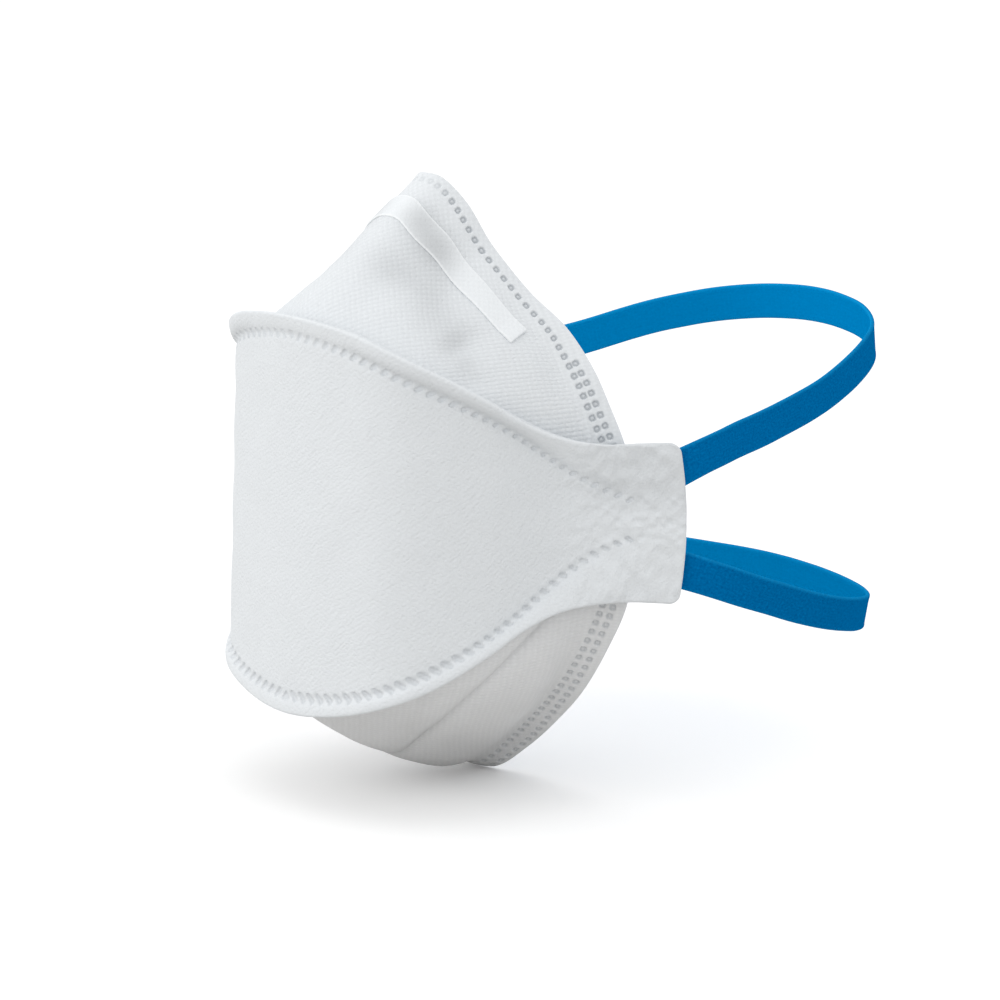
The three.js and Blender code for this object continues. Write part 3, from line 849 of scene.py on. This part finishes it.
def headband(name, route, side):
    behind = mask["thickness"] + band["gap"] + band["thickness"] / 2
    points = planAt(bandAnchors["along"]) - outwardAt(bandAnchors["along"]) * behind
    rows = {axis: np.concatenate([route[axis], points[:, i]]) for i, axis in enumerate("xy")}
    rows["z"] = np.concatenate([route["z"], side * bandAnchors["upper" if side > 0 else "lower"]])
    rows["lean"] = np.concatenate([route["lean"], np.zeros(3)])
    rows = withShares(rows)
    route = spotOn(rows, np.linspace(-1, 1, 2001))
    wholeLength = np.sum(np.linalg.norm(np.diff(route, axis=0), axis=-1))
    share = closeAtEnds(1, np.array(band["endSteps"]) / (wholeLength / 2), band["columns"])
    half = band["width"] / 2
    inward = half - np.array(band["sideSteps"])
    across = np.concatenate([-inward, between(-0.66, 0.66, 7) * half, inward[::-1]])
    share, across = np.meshgrid(share, across, indexing="ij")
    nudge = 1e-3
    ahead, behind = (np.clip(share + step, -1, 1) for step in (nudge, -nudge))
    alongBand = unit(spotOn(rows, ahead) - spotOn(rows, behind))
    lean = np.radians(read(rows, "lean", share))
    widthwise = unit(spot(0, 0, 1) - times(alongBand, alongBand[..., 2]))
    turned = times(widthwise, np.cos(lean)) - times(np.cross(alongBand, widthwise), np.sin(lean))
    outward = np.cross(turned, alongBand)
    toSide = half - np.abs(across)
    selvage = band["selvage"] * bell(toSide - 0.7, 0.45)
    place = share * wholeLength / 2
    wave = 0.05 * softNoise(place, across, 6, 61 + side)
    thick = band["thickness"] / 2 - 0.06
    middle = spotOn(rows, share) + times(turned, across + 0.06 * softNoise(place, across * 0.1, 8, 71))
    toEnd = (1 - np.abs(share)) * wholeLength / 2
    count = share.shape[1]
    print(name, "is", round(wholeLength, 1), "mm long")
    return closedSheet(
        name,
        middle + times(outward, thick + selvage + wave),
        middle - times(outward, thick + selvage - wave),
        np.minimum(toSide, toEnd),
        sorted({*range(0, count, 2), count - 1}),
        np.stack([place, across], axis=-1),
        {"edge": bell(toSide, 0.45)},
        side=-1,
    )


# Materials. The groups are effects that several of them share.


def feed(tree, sockets, inputs):
    for key, value in inputs.items():
        if isinstance(value, bpy.types.NodeSocket):
            tree.links.new(value, sockets[key])
        else:
            sockets[key].default_value = value


def addNode(tree, kind, inputs=None, **settings):
    node = tree.nodes.new(kind)
    for key, value in settings.items():
        setattr(node, key, value)
    feed(tree, node.inputs, inputs or {})
    return node


def maths(tree, operation, *inputs, clamp=False):
    inputs = dict(enumerate(inputs))
    return addNode(tree, "ShaderNodeMath", inputs, operation=operation, use_clamp=clamp).outputs[0]


def product(tree, first, second):
    return maths(tree, "MULTIPLY", first, second)


def timesPlus(tree, value, amount, more, clamp=False):
    return maths(tree, "MULTIPLY_ADD", value, amount, more, clamp=clamp)


def vectorMaths(tree, operation, *inputs):
    inputs = dict(enumerate(inputs))
    return addNode(tree, "ShaderNodeVectorMath", inputs, operation=operation).outputs[0]


def mixColours(tree, factor, first, second, kind="MIX"):
    inputs = {0: factor, 6: first, 7: second}
    return addNode(tree, "ShaderNodeMix", inputs, data_type="RGBA", blend_type=kind).outputs[2]


def noise(tree, place, scale, detail, roughness=0.5):
    inputs = {"Vector": place, "Scale": scale, "Detail": detail, "Roughness": roughness}
    return addNode(tree, "ShaderNodeTexNoise", inputs).outputs


def drifting(tree, place, scale, amounts):  # a place moved about by soft noise
    drift = noise(tree, place, scale, 2.0)["Color"]
    moved = vectorMaths(tree, "SUBTRACT", drift, (0.5, 0.5, 0.5))
    return vectorMaths(tree, "ADD", place, vectorMaths(tree, "MULTIPLY", moved, amounts))


def startGroup(name, inputs, outputs):  # an input without a value of its own is a vector
    tree = bpy.data.node_groups.new(name, "ShaderNodeTree")
    for key, value in inputs.items():
        kind = "Vector" if value is None else "Color" if isinstance(value, tuple) else "Float"
        socket = tree.interface.new_socket(key, in_out="INPUT", socket_type="NodeSocket" + kind)
        if value is not None:
            socket.default_value = value
    for key, kind in outputs.items():
        tree.interface.new_socket(key, in_out="OUTPUT", socket_type="NodeSocket" + kind)
    return tree, tree.nodes.new("NodeGroupInput").outputs, tree.nodes.new("NodeGroupOutput").inputs


def placeGroup(tree, group, inputs):
    return addNode(tree, "ShaderNodeGroup", inputs, node_tree=groups[group]).outputs


def dimpleGroup():
    # Staggered soft dimples, as nonwoven cloth has where it is bonded. Sizes are in millimetres.
    sizes = {"Flat": None, "Wide": 1.4, "Tall": 1.4, "Wander": 0.4}
    tree, given, out = startGroup("bonded dimples", sizes, {"Height": "Float"})
    place = drifting(tree, given["Flat"], 0.55, given["Wander"])
    apart = addNode(tree, "ShaderNodeSeparateXYZ", {0: place})
    waves = []
    for axis, size in (("X", "Wide"), ("Y", "Tall")):
        turns = maths(tree, "DIVIDE", apart.outputs[axis], given[size])
        waves.append(maths(tree, "COSINE", product(tree, turns, 2 * math.pi)))
    checker = product(tree, *waves)
    raised = timesPlus(tree, checker, 0.5, 0.5)
    tree.links.new(maths(tree, "SUBTRACT", 1.0, maths(tree, "POWER", raised, 1.6)), out["Height"])
    return tree


def fibreGroup():
    # Long soft streaks of fibre at an angle, the same way on both halves of the mask.
    sizes = {"Flat": None, "Angle": 0.8, "Length": 5.0, "Thickness": 0.9}
    tree, given, out = startGroup("fibre streaks", sizes, {"Height": "Float"})
    apart = addNode(tree, "ShaderNodeSeparateXYZ", {0: given["Flat"]})
    inputs = {"X": maths(tree, "ABSOLUTE", apart.outputs["X"]), "Y": apart.outputs["Y"]}
    mirrored = addNode(tree, "ShaderNodeCombineXYZ", inputs)
    back = product(tree, given["Angle"], -1.0)
    inputs = {"Vector": mirrored.outputs[0], "Angle": back}
    turned = addNode(tree, "ShaderNodeVectorRotate", inputs, rotation_type="Z_AXIS")
    parts = addNode(tree, "ShaderNodeSeparateXYZ", {0: turned.outputs[0]})
    inputs = {
        "X": maths(tree, "DIVIDE", parts.outputs["X"], given["Length"]),
        "Y": maths(tree, "DIVIDE", parts.outputs["Y"], given["Thickness"]),
    }
    stretched = addNode(tree, "ShaderNodeCombineXYZ", inputs)
    tree.links.new(noise(tree, stretched.outputs[0], 1.0, 3.0, 0.55)["Fac"], out["Height"])
    return tree


def pressedGroup():
    # Cloth that a hot tool has pressed flat is a little greyer and smoother.
    looks = {
        "Colour": (0.8, 0.8, 0.8, 1),
        "Pressed Colour": (0.6, 0.62, 0.64, 1),
        "Pressed": 0.0,
        "Rough": 0.9,
        "Pressed Rough": 0.6,
    }
    tree, given, out = startGroup("pressed cloth", looks, {"Colour": "Color", "Roughness": "Float"})
    colour = mixColours(tree, given["Pressed"], given["Colour"], given["Pressed Colour"])
    tree.links.new(colour, out["Colour"])
    drop = maths(tree, "SUBTRACT", given["Pressed Rough"], given["Rough"])
    tree.links.new(timesPlus(tree, drop, given["Pressed"], given["Rough"]), out["Roughness"])
    return tree


groups = {"dimples": dimpleGroup(), "fibres": fibreGroup(), "pressed": pressedGroup()}


def emptyTree(owner):
    owner.use_nodes = True
    owner.node_tree.nodes.clear()
    return owner.node_tree


def startMaterial(name, settings):
    material = bpy.data.materials.new(name)
    tree = emptyTree(material)
    inputs = {
        "Sheen Weight": settings["sheen"],
        "Sheen Roughness": 0.5,
        "Specular IOR Level": settings["gloss"],
    }
    shader = addNode(tree, "ShaderNodeBsdfPrincipled", inputs)
    addNode(tree, "ShaderNodeOutputMaterial", {"Surface": shader.outputs[0]})
    flat = addNode(tree, "ShaderNodeUVMap", uv_map="flat").outputs[0]
    return material, tree, shader.inputs, flat


def finishShader(tree, shader, height, distance, colour, roughness):
    inputs = {"Height": height, "Distance": distance * millimetre, "Strength": 1.0}
    bump = addNode(tree, "ShaderNodeBump", inputs)
    feed(tree, shader, {"Normal": bump.outputs[0], "Base Color": colour, "Roughness": roughness})


def mark(tree, name):
    return addNode(tree, "ShaderNodeAttribute", attribute_name=name).outputs["Fac"]


def dimpled(tree, flat, settings):
    return placeGroup(tree, "dimples", {
        "Flat": flat,
        "Wide": settings["dimpleWide"],
        "Tall": settings["dimpleTall"],
        "Wander": settings["dimpleWander"],
    })["Height"]


def clothMaterial(name, settings):
    material, tree, shader, flat = startMaterial(name, settings)
    dimples = dimpled(tree, flat, settings)
    fibres = placeGroup(tree, "fibres", {
        "Flat": flat,
        "Angle": math.radians(settings["fibreAngle"]),
        "Length": settings["fibreLength"],
        "Thickness": settings["fibreThickness"],
    })["Height"]
    fuzz = noise(tree, flat, 1.7, 4.0, 0.65)["Fac"]
    patches = noise(tree, flat, 0.09, 2.0)["Fac"]
    plain = maths(tree, "SUBTRACT", 1.0, mark(tree, settings["plainWhere"]), clamp=True)
    pressed = mark(tree, "pressed")
    height = product(tree, product(tree, dimples, settings["dimpleHeight"]), plain)
    height = timesPlus(tree, fibres, settings["fibreHeight"], height)
    height = timesPlus(tree, fuzz, settings["fuzzHeight"], height)
    height = product(tree, height, timesPlus(tree, pressed, -0.7, 1.0))
    tone = timesPlus(tree, dimples, -settings["dimpleTone"], 1.0)
    tone = timesPlus(tree, patches, -settings["patchTone"], tone)
    # painted shade: the cloth is darkened where the shade mark says
    tone = timesPlus(tree, mark(tree, "shade"), -settings["paintedShadeTone"], tone)
    tone = timesPlus(tree, fuzz, -settings["fuzzTone"], tone)
    done = placeGroup(tree, "pressed", {
        "Colour": mixColours(tree, 1.0, settings["colour"], tone, "MULTIPLY"),
        "Pressed Colour": settings["pressedColour"],
        "Pressed": product(tree, pressed, settings["pressedAmount"]),
        "Rough": settings["rough"],
        "Pressed Rough": settings["pressedRough"],
    })
    finishShader(tree, shader, height, 1, done["Colour"], done["Roughness"])
    return material


centreCloth = {
    "colour": (0.838, 0.868, 0.893, 1),
    "pressedColour": (0.66, 0.69, 0.72, 1),
    "pressedAmount": 0.5,
    "plainWhere": "tab",
    "dimpleWide": 2.3,
    "dimpleTall": 1.15,
    "dimpleWander": 1.6,
    "dimpleHeight": 0.05,
    "dimpleTone": 0.015,
    "fibreAngle": 48,
    "fibreLength": 3.6,
    "fibreThickness": 0.9,
    "fibreHeight": 0.24,
    "fuzzHeight": 0.22,
    "fuzzTone": 0.1,
    "patchTone": 0.03,
    "paintedShadeTone": 0.3,
    "rough": 0.9,
    "pressedRough": 0.55,
    "sheen": 0.1,
    "gloss": 0.25,
}
noseCloth = {
    **centreCloth,
    "pressedColour": (0.42, 0.45, 0.48, 1),
    "pressedAmount": 0.85,
    "plainWhere": "margin",
    "dimpleWide": 1.8,
    "dimpleTall": 1.9,
    "dimpleWander": 0.6,
    "dimpleHeight": 0.15,
    "dimpleTone": 0.06,
    "fibreAngle": 90,
    "fibreLength": 5,
    "fibreHeight": 0.1,
    "fuzzHeight": 0.14,
}
chinCloth = {
    **noseCloth,
    "colour": (0.85, 0.86, 0.87, 1),
    "pressedAmount": 0.5,
    "dimpleHeight": 0.08,
    "dimpleTone": 0.05,
}

clipFinish = {
    "colour": (0.84, 0.868, 0.89, 1),
    # a painted highlight along both edges of the strip
    "rimHighlightColour": (0.93, 0.95, 0.96, 1),
    "rimHighlightAmount": 0.8,
    "paintedShadeTone": 0.34,
    "dimpleWide": 1.8,
    "dimpleTall": 1.9,
    "dimpleWander": 0.6,
    "dimpleHeight": 0.07,
    "grainHeight": 0.14,
    "grainTone": 0.05,
    "grainRough": 0.1,
    "rough": 0.8,
    "sheen": 0.1,
    "gloss": 0.2,
}


def clipMaterial(name, settings):
    # The strip is as matt and white as the cloth, with the cloth's dimples pressed faintly into it.
    material, tree, shader, flat = startMaterial(name, settings)
    grain = noise(tree, flat, 1.7, 4.0)["Fac"]
    height = product(tree, dimpled(tree, flat, settings), settings["dimpleHeight"])
    height = timesPlus(tree, grain, settings["grainHeight"], height)
    # painted shade over the nose panel's hollows
    tone = timesPlus(tree, mark(tree, "shade"), -settings["paintedShadeTone"], 1.0)
    tone = timesPlus(tree, grain, -settings["grainTone"], tone)
    plain = mixColours(tree, 1.0, settings["colour"], tone, "MULTIPLY")
    # painted highlight: the strip is lighter along both edges
    rim = product(tree, mark(tree, "edge"), settings["rimHighlightAmount"])
    colour = mixColours(tree, rim, plain, settings["rimHighlightColour"])
    roughness = timesPlus(tree, grain, settings["grainRough"], settings["rough"])
    finishShader(tree, shader, height, 1, colour, roughness)
    return material


elasticFinish = {
    "colour": (0.0, 0.19, 0.5, 1),
    "darkColour": (0.0, 0.105, 0.32, 1),
    "lightColour": (0.02, 0.4, 0.72, 1),  # along both edges
    "insideColour": (0.0, 0.26, 0.62, 1),
    "lightAmount": 0.25,
    "stitchAlong": 1.1,
    "stitchAcross": 0.75,
    "knitHeight": 0.05,
    "rough": 0.85,
    "sheen": 0.0,
    "gloss": 0.0,
}


def elasticMaterial(name, settings):
    # Fine knitted ribs, speckled on the face that is turned out and smoother on the one to the head.
    material, tree, shader, flat = startMaterial(name, settings)
    place = drifting(tree, flat, 0.8, (0.5, 0.3, 0))
    apart = addNode(tree, "ShaderNodeSeparateXYZ", {0: place}).outputs
    across = product(tree, apart["Y"], 2 * math.pi / settings["stitchAcross"])
    rib = maths(tree, "COSINE", across)
    lean = timesPlus(tree, maths(tree, "ABSOLUTE", rib), 0.35, apart["X"])
    loop = maths(tree, "COSINE", product(tree, lean, 2 * math.pi / settings["stitchAlong"]))
    knit = timesPlus(tree, loop, 0.5, product(tree, rib, 0.4))
    inside = mark(tree, "inside")
    outside = timesPlus(tree, inside, -0.75, 1.0)
    speckle = noise(tree, flat, 1.5, 5.0, 0.7)["Fac"]
    speckled = timesPlus(tree, speckle, 2.6, -0.8, clamp=True)
    height = product(tree, knit, outside)
    height = timesPlus(tree, speckle, 0.6, height)
    colour = mixColours(tree, inside, settings["colour"], settings["insideColour"])
    shade = product(tree, speckled, outside)
    colour = mixColours(tree, shade, colour, settings["darkColour"])
    light = product(tree, mark(tree, "edge"), settings["lightAmount"])
    colour = mixColours(tree, light, colour, settings["lightColour"])
    roughness = timesPlus(tree, inside, -0.2, settings["rough"])
    finishShader(tree, shader, height, settings["knitHeight"], colour, roughness)
    return material


# Building every piece on its place in the frame.

noseFace = panelFace(noseEdge, noseSwell, noseHollow, 1)
chinFace = panelFace(chinEdge, chinSwell, chinHollow, -1)
elastic = elasticMaterial("blue elastic", elasticFinish)

centrePiece = centrePanel()
finishPiece(centrePiece, "centre_panel", clothMaterial("centre cloth", centreCloth))
nosePiece = sidePanel(nosePanel, noseEdge, noseFace, 1, "top_panel")
finishPiece(nosePiece, "top_panel", clothMaterial("nose cloth", noseCloth))
chinPiece = sidePanel(chinPanel, chinEdge, chinFace, -1, "chin_panel")
finishPiece(chinPiece, "chin_panel", clothMaterial("chin cloth", chinCloth))
finishPiece(noseClip(noseFace), "nose_clip", clipMaterial("clip strip", clipFinish))
for node, route, side in (("upper_headband", upperBand, 1), ("lower_headband", lowerBand, -1)):
    finishPiece(headband(node + "_elastic", route, side), node, elastic)


# The pale floor and soft studio light.

studio = {
    "floorHalf": 5,
    "floorShade": (1, 1, 1, 1),  # as the camera sees it
    "floorGlow": 0.07,
    "floorBounce": (0.66, 0.65, 0.635, 1),  # as the mask sees it
    "ambient": 0.965,
}
softboxes = {  # azimuth, elevation, distance, width, watts
    "overhead": (-20, 80, 1.3, 1.0, 1.6),
    "left side": (-50, 8, 1.5, 0.9, 3.2),
    "front": (5, 25, 1.5, 1.0, 2.2),
}


def placeAt(name, data, azimuth, elevation, distance):  # turned to face the mask
    a, e = math.radians(azimuth), math.radians(elevation)
    back = np.array([math.sin(a) * math.cos(e), -math.cos(a) * math.cos(e), math.sin(e)])
    right = unit(np.cross([0, 0, 1], back))
    turn = Matrix(np.stack([right, np.cross(back, right), back], axis=-1).tolist()).to_4x4()
    placed = addObject(name, data)
    placed.matrix_world = Matrix.Translation((back * distance).tolist()) @ turn
    return placed


def floor(level):
    half = studio["floorHalf"]
    mesh = bpy.data.meshes.new("floor")
    corners = [(-half, -half, level), (half, -half, level), (half, half, level), (-half, half, level)]
    mesh.from_pydata(corners, [], [(0, 1, 2, 3)])
    material = bpy.data.materials.new("pale floor")
    tree = emptyTree(material)
    seen = addNode(tree, "ShaderNodeBsdfDiffuse", {"Color": studio["floorShade"]})
    glow = addNode(tree, "ShaderNodeEmission", {"Color": (1, 1, 1, 1), "Strength": studio["floorGlow"]})
    lit = addNode(tree, "ShaderNodeAddShader", {0: seen.outputs[0], 1: glow.outputs[0]})
    bounce = addNode(tree, "ShaderNodeBsdfDiffuse", {"Color": studio["floorBounce"]})
    path = addNode(tree, "ShaderNodeLightPath").outputs["Is Camera Ray"]
    mixed = addNode(tree, "ShaderNodeMixShader", {0: path, 1: bounce.outputs[0], 2: lit.outputs[0]})
    addNode(tree, "ShaderNodeOutputMaterial", {"Surface": mixed.outputs[0]})
    mesh.materials.append(material)
    addObject("floor", mesh)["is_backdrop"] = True


def surroundings():
    world = bpy.data.worlds.new("studio")
    bpy.context.scene.world = world
    tree = emptyTree(world)
    path = addNode(tree, "ShaderNodeLightPath").outputs["Is Camera Ray"]
    strength = timesPlus(tree, path, 1 - studio["ambient"], studio["ambient"])
    light = addNode(tree, "ShaderNodeBackground", {"Color": (1, 1, 1, 1), "Strength": strength})
    addNode(tree, "ShaderNodeOutputWorld", {"Surface": light.outputs[0]})
    for name, (azimuth, elevation, distance, width, watts) in softboxes.items():
        lamp = bpy.data.lights.new(name, "AREA")
        lamp.shape, lamp.size, lamp.energy = "DISK", width, watts
        placeAt(name, lamp, azimuth, elevation, distance)


camera = {
    "azimuth": 50,
    "elevation": 11.67,
    "distance": 1.1,
    "lens": 167.5,
    "shift": (-0.01222, -0.02195),
}


def placeCamera():
    data = bpy.data.cameras.new("camera")
    data.lens, data.sensor_width = camera["lens"], 36
    data.shift_x, data.shift_y = camera["shift"]
    data.clip_start, data.clip_end = 0.05, 20
    place = (camera[key] for key in ("azimuth", "elevation", "distance"))
    bpy.context.scene.camera = placeAt("camera", data, *place)


madeBox = [list(corner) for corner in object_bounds()]
floor(min(cadBox[0][2], madeBox[0][2]))
surroundings()
placeCamera()
bpy.context.scene.view_settings.view_transform = "Standard"
print("floor, lights and camera placed")
